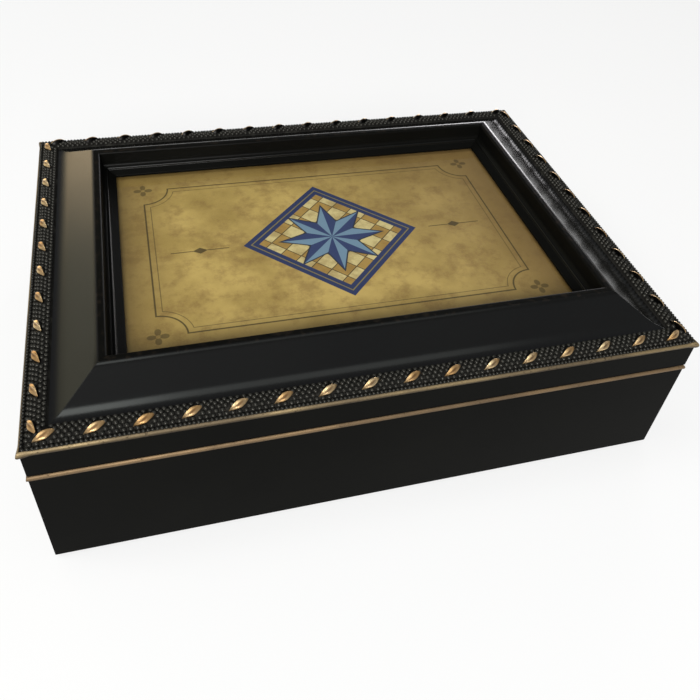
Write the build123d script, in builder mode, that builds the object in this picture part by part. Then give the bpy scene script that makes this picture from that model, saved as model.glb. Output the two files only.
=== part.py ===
from build123d import *
import os
from collections import namedtuple
from math import atan2, cos, floor, hypot, radians, sin, tan

os.makedirs("parts", exist_ok=True)

# A keepsake box: a lined wooden case whose lid is a picture frame, hung on two stop hinges.
# Millimetres. X runs along the front, Y runs from the front to the back, and Z is up.
# The origin is the middle of the felt underside.

# Picture held in the lid
PRINT_LENGTH = 152.4
PRINT_WIDTH = 101.6
PRINT_THICKNESS = 0.4
GLASS_THICKNESS = 1.2
BACKING_THICKNESS = 2.5
PICTURE_PLAY = 0.5

# Lid moulding, inwards from its outer face and upwards from its underside
RABBET_SETBACK = 24.5
LID_HEIGHT = 17.7
FASCIA_HEIGHT = 8.4
BAND_STEP = 1.3
BAND_WIDTH = 5.9
BAND_RISE = 1.2
BAND_CROWN = 1.4
COVE_RUN = 1.5
COVE_RADIUS = 5.3
CREST_TO_RABBET = 3.2
CREST_WIDTH = 1.9
CREST_RADIUS = 3.0
SCOOP_RUN = 0.9
SCOOP_RISE = 0.7
SCOOP_RADIUS = 2.0
INNER_BEAD_RADIUS = 0.45
INNER_BEAD_STEP = 0.4
LIP_HEIGHT = 9.3
LIP_OVERLAP = 3.5
LIP_ROOT = 2.4
SIGHT_THICKNESS = 0.9

# Gilt beads let into the outer edges of the lid and of the case
BEAD_DIAMETER = 1.9
BEAD_PROUD = 0.4
BEAD_SEAT = 1.3

# Gilt leaves along the crowned ornament band
LEAF_LENGTH = 6.6
LEAF_THICKNESS = 2.7
LEAF_SINK = 0.35
LEAF_ROOT = 0.6
LEAF_SLANT = 27.0
LEAF_LEAN = 20.0
LEAF_PITCH = 12.6
LEAF_END_ROOM = 5.1
FIRST_LEAF = 6.3

# Board that closes the underside of the lid
LID_BOARD_THICKNESS = 2.0
LID_BOARD_MARGIN = 18.0
LID_BOARD_RECESS = 0.3
LID_BOARD_FIT = 0.3

# Fasteners of the frame
V_NAIL_LEG = 4.0
V_NAIL_THICKNESS = 0.5
V_NAIL_LENGTH = 7.0
V_NAIL_SINK = 0.5
V_NAIL_SETBACKS = (5.0, 12.0)
POINT_WIDTH = 6.0
POINT_THICKNESS = 0.5
POINT_REACH = 7.0
POINT_BITE = 4.0
POINT_SPACING = 50.0

# Case
WALL_HEIGHT = 40.4
WALL_THICKNESS = 8.0
PARTING_GAP = 0.4
FLOOR_THICKNESS = 3.0
FLOOR_RABBET = 4.0
FLOOR_FIT = 0.2
FELT_THICKNESS = 1.0
FELT_INSET = 3.0
FELT_CORNER = 4.0
LINING_THICKNESS = 1.5
LINING_DROP = 1.0
LINING_FLOOR_THICKNESS = 2.0
LINING_FIT = 0.3
BRAD_DIAMETER = 1.2
BRAD_HEAD_DIAMETER = 1.8
BRAD_HEAD_THICKNESS = 0.5
BRAD_LENGTH = 18.0
BRAD_SINK = 0.6
BRAD_HEIGHTS = (11.0, 27.0)

# Stop hinges
HINGE_SPACING = 110.0
HINGE_LENGTH = 22.0
PLATE_WIDTH = 6.6
PLATE_THICKNESS = 0.8
PLATE_FIT = 0.1
AXIS_SETBACK = 2.2
KNUCKLE_DIAMETER = 2.6
LID_KNUCKLE_LENGTH = 9.4
KNUCKLE_END_GAP = 0.3
KNUCKLE_ROOM = 0.3
PIN_DIAMETER = 1.2
PIN_PLAY = 0.04
PIN_HEAD_DIAMETER = 1.9
PIN_HEAD_THICKNESS = 0.5
OPEN_ANGLE = 100.0
STOP_PLAY = 0.6
STOP_INNER_RADIUS = 1.8
STOP_OUTER_RADIUS = 4.6
SCREW_DIAMETER = 2.0
SCREW_HEAD_DIAMETER = 3.4
SCREW_HEAD_ANGLE = 90.0
SCREW_LENGTH = 6.5
SCREW_TIP = 1.3
SCREW_SPACING = 14.0
SCREW_SETBACK = 3.9
SLOT_WIDTH = 0.5
SLOT_DEPTH = 0.35

# Strips are drawn this much too long at each end, and their mitres then cut them to length
MITRE_OVERRUN = 3.0

# Most of a straight run that the tangent of a rounded corner may take up
TANGENT_SHARE = 0.9

# Sizes and heights that follow from the values above
CASE_LENGTH = PRINT_LENGTH + 2 * (PICTURE_PLAY + RABBET_SETBACK)
CASE_WIDTH = PRINT_WIDTH + 2 * (PICTURE_PLAY + RABBET_SETBACK)
WALL_BOTTOM = FELT_THICKNESS
WALL_TOP = WALL_BOTTOM + WALL_HEIGHT
FLOOR_TOP = WALL_BOTTOM + FLOOR_THICKNESS
LID_BOTTOM = WALL_TOP + PARTING_GAP
LID_BOARD_TOP = LID_BOTTOM + LID_BOARD_RECESS + LID_BOARD_THICKNESS
LIP_BOTTOM = LID_BOTTOM + LIP_HEIGHT
GLASS_BOTTOM = LIP_BOTTOM - GLASS_THICKNESS
PRINT_BOTTOM = GLASS_BOTTOM - PRINT_THICKNESS
BACKING_BOTTOM = PRINT_BOTTOM - BACKING_THICKNESS
POINT_BOTTOM = BACKING_BOTTOM - POINT_THICKNESS
LID_BEAD_BOTTOM = LID_BOTTOM + FASCIA_HEIGHT
CASE_BEAD_BOTTOM = WALL_TOP - BEAD_DIAMETER
AXIS_Y = CASE_WIDTH / 2 + AXIS_SETBACK
AXIS_Z = WALL_TOP + PARTING_GAP / 2
HINGE_CENTRES = {"left": -HINGE_SPACING / 2, "right": HINGE_SPACING / 2}
UP = Vector(0, 0, 1)

# The four sides of the box, followed anticlockwise as seen from above
Side = namedtuple("Side", "name length middle travel inward")
SIDES = [
    Side("front", CASE_LENGTH, Vector(0, -CASE_WIDTH / 2), Vector(1, 0), Vector(0, 1)),
    Side("right", CASE_WIDTH, Vector(CASE_LENGTH / 2, 0), Vector(0, 1), Vector(-1, 0)),
    Side("back", CASE_LENGTH, Vector(0, CASE_WIDTH / 2), Vector(-1, 0), Vector(0, -1)),
    Side("left", CASE_WIDTH, Vector(-CASE_LENGTH / 2, 0), Vector(0, -1), Vector(1, 0)),
]


def section_plane(side):
    """Plane across a side: its X runs inwards from the outer face and its Y runs up."""
    return Plane(origin=side.middle, x_dir=side.inward, z_dir=side.travel)


def mitre_planes(side):
    """The two upright planes at 45 degrees on which a side meets its neighbours."""
    half = side.travel * (side.length / 2)
    return [
        Plane(origin=side.middle + half, z_dir=side.inward + side.travel),
        Plane(origin=side.middle - half, z_dir=side.inward - side.travel),
    ]


def corner_plane(side, setback, height):
    """Level plane on the mitre at the start of a side, with X along it and Y inwards."""
    corner = side.middle - side.travel * (side.length / 2)
    return Plane(
        origin=corner + (side.travel + side.inward) * setback + UP * height,
        x_dir=side.travel,
        z_dir=UP,
    )


def cut_mitres(side):
    """Cut both ends of the strip being built on the mitres of its side."""
    for mitre in mitre_planes(side):
        split(bisect_by=mitre, keep=Keep.BOTTOM)


def fitting_radius(radius, run, turn):
    """The radius asked for, or the largest one whose tangent fits its straight run."""
    return min(radius, TANGENT_SHARE * run / tan(turn / 2))


def save(part, name):
    """Label a finished piece and write its file."""
    part.label = name
    export_step(part, f"parts/{name}.step")


# Section of the lid moulding
band_outer = (BEAD_SEAT, LID_BEAD_BOTTOM + BAND_STEP)
band_inner = (BEAD_SEAT + BAND_WIDTH, band_outer[1] + BAND_RISE)
cove_corner = (band_inner[0] + COVE_RUN, band_inner[1])
crest_outer = (RABBET_SETBACK - CREST_TO_RABBET, LID_BOTTOM + LID_HEIGHT)
crest_inner = (crest_outer[0] + CREST_WIDTH, crest_outer[1])
inner_bead = (RABBET_SETBACK, LIP_BOTTOM + LIP_ROOT)
scoop_corner = (inner_bead[0] - SCOOP_RUN, inner_bead[1] + SCOOP_RISE)
inner_bead_top = (inner_bead[0] + INNER_BEAD_RADIUS, inner_bead[1] + INNER_BEAD_RADIUS)
inner_bead_end = (inner_bead[0] + 2 * INNER_BEAD_RADIUS, inner_bead[1])
sight_edge = (RABBET_SETBACK + LIP_OVERLAP, LIP_BOTTOM + SIGHT_THICKNESS)
cove_turn = atan2(crest_outer[1] - cove_corner[1], crest_outer[0] - cove_corner[0])
drop_turn = atan2(crest_inner[1] - scoop_corner[1], scoop_corner[0] - crest_inner[0])
scoop_turn = drop_turn - atan2(SCOOP_RISE, SCOOP_RUN)
moulding_radii = (
    fitting_radius(COVE_RADIUS, COVE_RUN, cove_turn),
    fitting_radius(CREST_RADIUS, CREST_WIDTH / 2, cove_turn),
    fitting_radius(CREST_RADIUS, CREST_WIDTH / 2, drop_turn),
    fitting_radius(SCOOP_RADIUS, hypot(SCOOP_RUN, SCOOP_RISE), scoop_turn),
)

# Crown of the ornament band: an arc over the flat seat that the moulding gives it
band_chord = hypot(BAND_WIDTH, BAND_RISE)
band_tilt = atan2(BAND_RISE, BAND_WIDTH)
band_middle = ((band_outer[0] + band_inner[0]) / 2, (band_outer[1] + band_inner[1]) / 2)
band_radius = (band_chord**2 / 4 + BAND_CROWN**2) / (2 * BAND_CROWN)
band_top = (band_middle[0] - BAND_CROWN * sin(band_tilt), band_middle[1] + BAND_CROWN * cos(band_tilt))
band_centre = (band_top[0] + band_radius * sin(band_tilt), band_top[1] - band_radius * cos(band_tilt))

# Section of a case wall, with the seat of its bead above and the rabbet of the floor below
case_wall_outline = [
    (0, WALL_BOTTOM),
    (0, CASE_BEAD_BOTTOM),
    (BEAD_SEAT, CASE_BEAD_BOTTOM),
    (BEAD_SEAT, WALL_TOP),
    (WALL_THICKNESS, WALL_TOP),
    (WALL_THICKNESS, FLOOR_TOP),
    (WALL_THICKNESS - FLOOR_RABBET, FLOOR_TOP),
    (WALL_THICKNESS - FLOOR_RABBET, WALL_BOTTOM),
]


# Hinge screws
def screw_set(head_height, direction):
    """All the screws of one row of hinge plates, driven up (1) or down (-1) from their heads."""
    head_depth = (SCREW_HEAD_DIAMETER - SCREW_DIAMETER) / 2 / tan(radians(SCREW_HEAD_ANGLE / 2))
    with BuildPart() as screws:
        for hinge_x in HINGE_CENTRES.values():
            for offset in (-SCREW_SPACING / 2, SCREW_SPACING / 2):
                head = Vector(hinge_x + offset, CASE_WIDTH / 2 - SCREW_SETBACK, head_height)
                with BuildSketch(Plane(origin=head, x_dir=(1, 0, 0), z_dir=(0, -direction, 0))):
                    with BuildLine():
                        Polyline(
                            (0, 0),
                            (SCREW_HEAD_DIAMETER / 2, 0),
                            (SCREW_DIAMETER / 2, head_depth),
                            (SCREW_DIAMETER / 2, SCREW_LENGTH - SCREW_TIP),
                            (0, SCREW_LENGTH),
                            close=True,
                        )
                    make_face()
                revolve(axis=Axis(head, UP))
                with BuildSketch(Plane(origin=head, x_dir=(1, 0, 0), z_dir=UP)):
                    Rectangle(SCREW_HEAD_DIAMETER, SLOT_WIDTH)
                extrude(amount=direction * SLOT_DEPTH, mode=Mode.SUBTRACT)
    return screws.part


case_screws = screw_set(WALL_TOP, -1)
save(case_screws, "hinge_screws_case")
lid_screws = screw_set(LID_BOTTOM, 1)
save(lid_screws, "hinge_screws_lid")


# Hinge plates
def hinge_section(hinge_x):
    """Plane across a hinge on its axis: X points to the back and Y points up."""
    return Plane(origin=(hinge_x, AXIS_Y, AXIS_Z), x_dir=(0, 1, 0), z_dir=(1, 0, 0))


def knuckle_spans(on_lid):
    """Middle and length of each knuckle of a plate along the hinge, from the hinge's middle."""
    if on_lid:
        return [(0, LID_KNUCKLE_LENGTH)]
    length = (HINGE_LENGTH - LID_KNUCKLE_LENGTH) / 2 - KNUCKLE_END_GAP
    middle = (HINGE_LENGTH - length) / 2
    return [(-middle, length), (middle, length)]


def stop_outline(side, inner, outer):
    """Outline of a stop flange, whose flat face lies on a radius of the hinge axis."""
    angle = radians((OPEN_ANGLE + STOP_PLAY) / 2)
    along = Vector(cos(angle), side * sin(angle))
    away = Vector(-sin(angle), side * cos(angle)) * PLATE_THICKNESS
    return [along * inner, along * outer, along * outer + away, along * inner + away]


def hinge_plate(hinge_x, on_lid):
    """One plate of a stop hinge with its knuckles, its stop flange and its screw holes."""
    side = 1 if on_lid else -1
    section = hinge_section(hinge_x)
    knuckle_radius = KNUCKLE_DIAMETER / 2
    plate_edge = AXIS_SETBACK + PLATE_WIDTH
    plate_face = side * PARTING_GAP / 2
    plate_back = plate_face + side * PLATE_THICKNESS
    with BuildPart() as plate:
        with BuildSketch(section):
            with BuildLine():
                Polyline(
                    (-plate_edge, plate_face),
                    (0, plate_face),
                    (0, plate_back),
                    (-plate_edge, plate_back),
                    close=True,
                )
            make_face()
        extrude(amount=HINGE_LENGTH / 2, both=True)
        for middle, length in knuckle_spans(not on_lid):
            with BuildSketch(section.offset(middle)):
                Circle(knuckle_radius + KNUCKLE_ROOM)
            extrude(amount=length / 2 + KNUCKLE_END_GAP, both=True, mode=Mode.SUBTRACT)
        for middle, length in knuckle_spans(on_lid):
            with BuildSketch(section.offset(middle)):
                Circle(knuckle_radius)
            extrude(amount=length / 2, both=True)
            with BuildSketch(section.offset(middle)):
                with BuildLine():
                    Polyline(stop_outline(side, PIN_DIAMETER / 2, STOP_INNER_RADIUS), close=True)
                make_face()
            extrude(amount=length / 2, both=True)
        with BuildSketch(section):
            with BuildLine():
                Polyline(stop_outline(side, STOP_INNER_RADIUS, STOP_OUTER_RADIUS), close=True)
            make_face()
        extrude(amount=HINGE_LENGTH / 2, both=True)
        with BuildSketch(section):
            Circle(PIN_DIAMETER / 2 + PIN_PLAY)
        extrude(amount=HINGE_LENGTH, both=True, mode=Mode.SUBTRACT)
        head_plane = Plane(
            origin=(hinge_x, CASE_WIDTH / 2 - SCREW_SETBACK, AXIS_Z + plate_face),
            x_dir=(1, 0, 0),
            z_dir=(0, 0, -side),
        )
        with Locations(head_plane):
            with GridLocations(SCREW_SPACING, 1, 2, 1):
                CounterSinkHole(
                    SCREW_DIAMETER / 2,
                    SCREW_HEAD_DIAMETER / 2,
                    counter_sink_angle=SCREW_HEAD_ANGLE,
                )
    return plate.part


for hinge_name, hinge_x in HINGE_CENTRES.items():
    save(hinge_plate(hinge_x, on_lid=False), f"hinge_{hinge_name}_case_plate")
    save(hinge_plate(hinge_x, on_lid=True), f"hinge_{hinge_name}_lid_plate")
    with BuildPart() as hinge_pin:
        with BuildSketch(hinge_section(hinge_x)):
            Circle(PIN_DIAMETER / 2)
        extrude(amount=HINGE_LENGTH / 2, both=True)
        for end in (-1, 1):
            with BuildSketch(hinge_section(hinge_x).offset(end * HINGE_LENGTH / 2)):
                Circle(PIN_HEAD_DIAMETER / 2)
            extrude(amount=end * PIN_HEAD_THICKNESS)
    save(hinge_pin.part, f"hinge_{hinge_name}_pin")


# Recesses that let the hinge plates into the back edges of the case and of the lid
def plate_recesses(face_height, direction):
    """Cutters for one row of plates, going up (1) or down (-1) from a wooden edge."""
    depth = PLATE_WIDTH + PLATE_FIT
    with BuildPart() as recesses:
        for hinge_x in HINGE_CENTRES.values():
            middle = (hinge_x, CASE_WIDTH / 2 - depth / 2 + AXIS_SETBACK / 2, face_height)
            with BuildSketch(Plane(origin=middle, x_dir=(1, 0, 0), z_dir=UP)):
                Rectangle(HINGE_LENGTH + 2 * PLATE_FIT, depth + AXIS_SETBACK)
            extrude(amount=direction * PLATE_THICKNESS)
    return recesses.part


case_recesses = plate_recesses(WALL_TOP, -1)
lid_recesses = plate_recesses(LID_BOTTOM, 1)

# Brads through the corners of the case
with BuildPart() as corner_brads:
    for side in SIDES:
        for height in BRAD_HEIGHTS:
            corner = corner_plane(side, 0, WALL_BOTTOM + height).origin
            head = corner + side.inward * (WALL_THICKNESS / 2) + side.travel * BRAD_SINK
            with BuildSketch(Plane(origin=head, z_dir=side.travel)):
                Circle(BRAD_HEAD_DIAMETER / 2)
            extrude(amount=BRAD_HEAD_THICKNESS)
            with BuildSketch(Plane(origin=head, z_dir=side.travel)):
                Circle(BRAD_DIAMETER / 2)
            extrude(amount=BRAD_LENGTH)
save(corner_brads.part, "corner_brads")

# Walls of the case and their linings
for side in SIDES:
    with BuildPart() as case_wall:
        with BuildSketch(section_plane(side)):
            with BuildLine():
                Polyline(case_wall_outline, close=True)
            make_face()
        extrude(amount=side.length / 2 + MITRE_OVERRUN, both=True)
        cut_mitres(side)
        add(corner_brads.part, mode=Mode.SUBTRACT)
        if side.name == "back":
            add(case_recesses, mode=Mode.SUBTRACT)
            add(case_screws, mode=Mode.SUBTRACT)
    save(case_wall.part, f"case_wall_{side.name}")

    with BuildPart() as wall_lining:
        with BuildSketch(section_plane(side)):
            with BuildLine():
                Polyline(
                    (WALL_THICKNESS, FLOOR_TOP),
                    (WALL_THICKNESS + LINING_THICKNESS, FLOOR_TOP),
                    (WALL_THICKNESS + LINING_THICKNESS, WALL_TOP - LINING_DROP),
                    (WALL_THICKNESS, WALL_TOP - LINING_DROP),
                    close=True,
                )
            make_face()
        extrude(amount=side.length / 2, both=True)
        cut_mitres(side)
    save(wall_lining.part, f"wall_lining_{side.name}")

# Gilt beads, one row round the case and one round the lid
for row_name, bead_bottom in {"case": CASE_BEAD_BOTTOM, "lid": LID_BEAD_BOTTOM}.items():
    bead_radius = BEAD_DIAMETER / 2
    bead_middle = bead_radius - BEAD_PROUD
    for side in SIDES:
        with BuildPart() as gilt_bead:
            with BuildSketch(section_plane(side)):
                with BuildLine():
                    lower = Line((BEAD_SEAT, bead_bottom), (bead_middle, bead_bottom))
                    nose = ThreePointArc(
                        lower @ 1,
                        (-BEAD_PROUD, bead_bottom + bead_radius),
                        (bead_middle, bead_bottom + BEAD_DIAMETER),
                    )
                    upper = Line(nose @ 1, (BEAD_SEAT, bead_bottom + BEAD_DIAMETER))
                    Line(upper @ 1, lower @ 0)
                make_face()
            extrude(amount=side.length / 2 + MITRE_OVERRUN, both=True)
            cut_mitres(side)
            if row_name == "case" and side.name == "back":
                add(case_recesses, mode=Mode.SUBTRACT)
        save(gilt_bead.part, f"gilt_bead_{row_name}_{side.name}")

# Floor of the case, its lining and the felt under it
with BuildPart() as case_floor:
    with BuildSketch(Plane.XY.offset(WALL_BOTTOM)):
        floor_margin = WALL_THICKNESS - FLOOR_RABBET + FLOOR_FIT
        Rectangle(CASE_LENGTH - 2 * floor_margin, CASE_WIDTH - 2 * floor_margin)
    extrude(amount=FLOOR_THICKNESS)
save(case_floor.part, "case_floor")

with BuildPart() as floor_lining:
    with BuildSketch(Plane.XY.offset(FLOOR_TOP)):
        lining_margin = WALL_THICKNESS + LINING_THICKNESS + LINING_FIT
        Rectangle(CASE_LENGTH - 2 * lining_margin, CASE_WIDTH - 2 * lining_margin)
    extrude(amount=LINING_FLOOR_THICKNESS)
save(floor_lining.part, "floor_lining")

with BuildPart() as felt_base:
    with BuildSketch(Plane.XY):
        RectangleRounded(CASE_LENGTH - 2 * FELT_INSET, CASE_WIDTH - 2 * FELT_INSET, FELT_CORNER)
    extrude(amount=FELT_THICKNESS)
save(felt_base.part, "felt_base")

# Corner nails of the frame, driven up into the mitres from below
with BuildPart() as v_nails:
    for side in SIDES:
        for setback in V_NAIL_SETBACKS:
            with BuildSketch(corner_plane(side, setback, LID_BOTTOM + V_NAIL_SINK)):
                with BuildLine():
                    Polyline(
                        (0, 0),
                        (V_NAIL_LEG, 0),
                        (V_NAIL_LEG, V_NAIL_THICKNESS),
                        (V_NAIL_THICKNESS, V_NAIL_THICKNESS),
                        (V_NAIL_THICKNESS, V_NAIL_LEG),
                        (0, V_NAIL_LEG),
                        close=True,
                    )
                make_face()
            extrude(amount=V_NAIL_LENGTH)
save(v_nails.part, "v_nails")

# Flat points that hold the picture in, pushed into the rabbet under the backing
with BuildPart() as framers_points:
    for side in SIDES:
        count = floor((side.length - 2 * RABBET_SETBACK) / POINT_SPACING)
        for number in range(count):
            along = (number - (count - 1) / 2) * POINT_SPACING
            seat = side.middle + side.travel * along + side.inward * RABBET_SETBACK + UP * POINT_BOTTOM
            with BuildSketch(Plane(origin=seat, x_dir=side.travel, z_dir=UP)):
                with BuildLine():
                    Polyline(
                        (-POINT_WIDTH / 2, POINT_REACH),
                        (-POINT_WIDTH / 2, -POINT_BITE / 2),
                        (0, -POINT_BITE),
                        (POINT_WIDTH / 2, -POINT_BITE / 2),
                        (POINT_WIDTH / 2, POINT_REACH),
                        close=True,
                    )
                make_face()
            extrude(amount=POINT_THICKNESS)
save(framers_points.part, "framers_points")

# Lid frame: the mitred rails, the ornament bands on them and the gilt leaves on the bands
for side in SIDES:
    with BuildPart() as lid_rail:
        with BuildSketch(section_plane(side)):
            with BuildLine():
                Polyline(
                    (0, LID_BOTTOM),
                    (0, LID_BEAD_BOTTOM),
                    (BEAD_SEAT, LID_BEAD_BOTTOM),
                    band_outer,
                    band_inner,
                )
                FilletPolyline(
                    band_inner,
                    cove_corner,
                    crest_outer,
                    crest_inner,
                    scoop_corner,
                    inner_bead,
                    radius=moulding_radii,
                )
                ThreePointArc(inner_bead, inner_bead_top, inner_bead_end)
                Polyline(
                    inner_bead_end,
                    (inner_bead_end[0], inner_bead_end[1] - INNER_BEAD_STEP),
                    sight_edge,
                    (sight_edge[0], LIP_BOTTOM),
                    (RABBET_SETBACK, LIP_BOTTOM),
                    (RABBET_SETBACK, LID_BOARD_TOP),
                    (LID_BOARD_MARGIN, LID_BOARD_TOP),
                    (LID_BOARD_MARGIN, LID_BOTTOM),
                    (0, LID_BOTTOM),
                )
            make_face()
        extrude(amount=side.length / 2 + MITRE_OVERRUN, both=True)
        cut_mitres(side)
        add(v_nails.part, mode=Mode.SUBTRACT)
        add(framers_points.part, mode=Mode.SUBTRACT)
        if side.name == "back":
            add(lid_recesses, mode=Mode.SUBTRACT)
            add(lid_screws, mode=Mode.SUBTRACT)
    save(lid_rail.part, f"lid_rail_{side.name}")

    with BuildPart() as ornament_band:
        with BuildSketch(section_plane(side)):
            with BuildLine():
                ThreePointArc(band_outer, band_top, band_inner)
                Line(band_inner, band_outer)
            make_face()
        extrude(amount=side.length / 2 + MITRE_OVERRUN, both=True)
        cut_mitres(side)
    save(ornament_band.part, f"ornament_band_{side.name}")

    lean = radians(LEAF_LEAN)
    slant = radians(LEAF_SLANT)
    leaf_out = UP * cos(lean) - side.inward * sin(lean)
    leaf_across = side.inward * cos(lean) + UP * sin(lean)
    leaf_along = side.travel * cos(slant) + leaf_across * sin(slant)
    band_axis = side.middle + side.inward * band_centre[0] + UP * band_centre[1]
    leaf_middle = band_axis + leaf_out * (band_radius - LEAF_SINK)
    leaf_plane = Plane(origin=leaf_middle, x_dir=leaf_along, z_dir=leaf_out)
    with BuildPart() as leaf:
        with BuildSketch(leaf_plane):
            with BuildLine():
                edge = ThreePointArc((-LEAF_LENGTH / 2, 0), (0, LEAF_THICKNESS / 2), (LEAF_LENGTH / 2, 0))
                Line(edge @ 1, edge @ 0)
            make_face()
        revolve(axis=Axis(leaf_middle, leaf_along))
        split(bisect_by=leaf_plane.offset(LEAF_SINK - LEAF_ROOT), keep=Keep.TOP)

    count = floor((side.length - FIRST_LEAF - LEAF_END_ROOM) / LEAF_PITCH) + 1
    first = FIRST_LEAF - side.length / 2
    with BuildPart() as gilt_leaves:
        with Locations([side.travel * (first + number * LEAF_PITCH) for number in range(count)]):
            add(leaf.part)
        add(ornament_band.part, mode=Mode.SUBTRACT)
        cut_mitres(side)
    save(gilt_leaves.part, f"gilt_leaves_{side.name}")

# Picture in the frame, from the glass downwards, and the board that closes the lid
picture_layers = {
    "glass_pane": (GLASS_BOTTOM, GLASS_THICKNESS),
    "print_card": (PRINT_BOTTOM, PRINT_THICKNESS),
    "backing_board": (BACKING_BOTTOM, BACKING_THICKNESS),
}
for layer_name, (layer_bottom, layer_thickness) in picture_layers.items():
    with BuildPart() as picture_layer:
        with BuildSketch(Plane.XY.offset(layer_bottom)):
            Rectangle(PRINT_LENGTH, PRINT_WIDTH)
        extrude(amount=layer_thickness)
    save(picture_layer.part, layer_name)

with BuildPart() as lid_board:
    with BuildSketch(Plane.XY.offset(LID_BOTTOM + LID_BOARD_RECESS)):
        board_margin = LID_BOARD_MARGIN + LID_BOARD_FIT
        Rectangle(CASE_LENGTH - 2 * board_margin, CASE_WIDTH - 2 * board_margin)
    extrude(amount=LID_BOARD_THICKNESS)
save(lid_board.part, "lid_board")
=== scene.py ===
# %% [markdown]
# # A keepsake box with a picture in its lid
# The box is a low case of black lacquered wood. Its hinged lid is a deep picture frame, with a gilt
# bead, a band of tiny pearls and a row of gilt leaves round it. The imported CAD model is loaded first
# as a fixed frame, in metres. Every piece made below stands for one of its nodes and rides on the
# case or on the lid, so the box still opens.

# %% Load the frame
from collections import namedtuple
from math import acos, atan2, cos, pi, radians, sin, tan

import bmesh
import bpy
from mathutils import Matrix, Quaternion, Vector


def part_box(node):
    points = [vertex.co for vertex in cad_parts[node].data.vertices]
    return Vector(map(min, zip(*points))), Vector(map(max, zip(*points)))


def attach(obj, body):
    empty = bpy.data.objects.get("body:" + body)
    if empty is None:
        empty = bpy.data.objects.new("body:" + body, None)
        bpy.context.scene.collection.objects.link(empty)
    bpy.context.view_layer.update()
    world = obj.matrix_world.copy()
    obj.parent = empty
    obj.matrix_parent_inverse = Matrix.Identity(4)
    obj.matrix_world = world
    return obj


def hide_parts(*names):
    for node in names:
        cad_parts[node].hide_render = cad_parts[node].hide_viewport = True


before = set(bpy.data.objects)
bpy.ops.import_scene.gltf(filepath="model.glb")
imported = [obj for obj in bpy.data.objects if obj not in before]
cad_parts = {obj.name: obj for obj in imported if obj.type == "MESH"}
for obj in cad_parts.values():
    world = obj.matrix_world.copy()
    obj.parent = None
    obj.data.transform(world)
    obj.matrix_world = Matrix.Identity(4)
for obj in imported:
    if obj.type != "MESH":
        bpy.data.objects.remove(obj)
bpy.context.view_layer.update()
MM = 0.001

# %% [markdown]
# The frame and the case are both made of four strips that meet on mitres, as a framer makes them.
# Each strip is drawn in the place of one side: X runs along the side, Y runs inwards from the outer
# face of the wood, and Z is the height. One matrix for each side then turns that into its real place,
# so that one drawing serves all four.

# %% The four sides, followed anticlockwise from above
Side = namedtuple("Side", "name half place")
wall_low, wall_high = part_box("case_wall_front")
HALF_LENGTH = wall_high.x
HALF_WIDTH = -wall_low.y


def side_place(turn, distance):
    """The matrix from a side's own place to the box's."""
    return Matrix.Rotation(radians(turn), 4, "Z") @ Matrix.Translation((0, -distance, 0))


SIDES = [
    Side("front", HALF_LENGTH, side_place(0, HALF_WIDTH)),
    Side("right", HALF_WIDTH, side_place(90, HALF_LENGTH)),
    Side("back", HALF_LENGTH, side_place(180, HALF_WIDTH)),
    Side("left", HALF_WIDTH, side_place(270, HALF_LENGTH)),
]
print("wood is", round(2 * HALF_LENGTH / MM, 1), "by", round(2 * HALF_WIDTH / MM, 1), "mm")

# %% [markdown]
# Finishes and repeated ornament are both node trees, and node trees are mostly sums. A small class
# wraps one socket, so that a sum can be written as a sum: each operator adds one Math node. Any other
# node comes from its method node(), which takes the settings first and the sockets after them.


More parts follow.
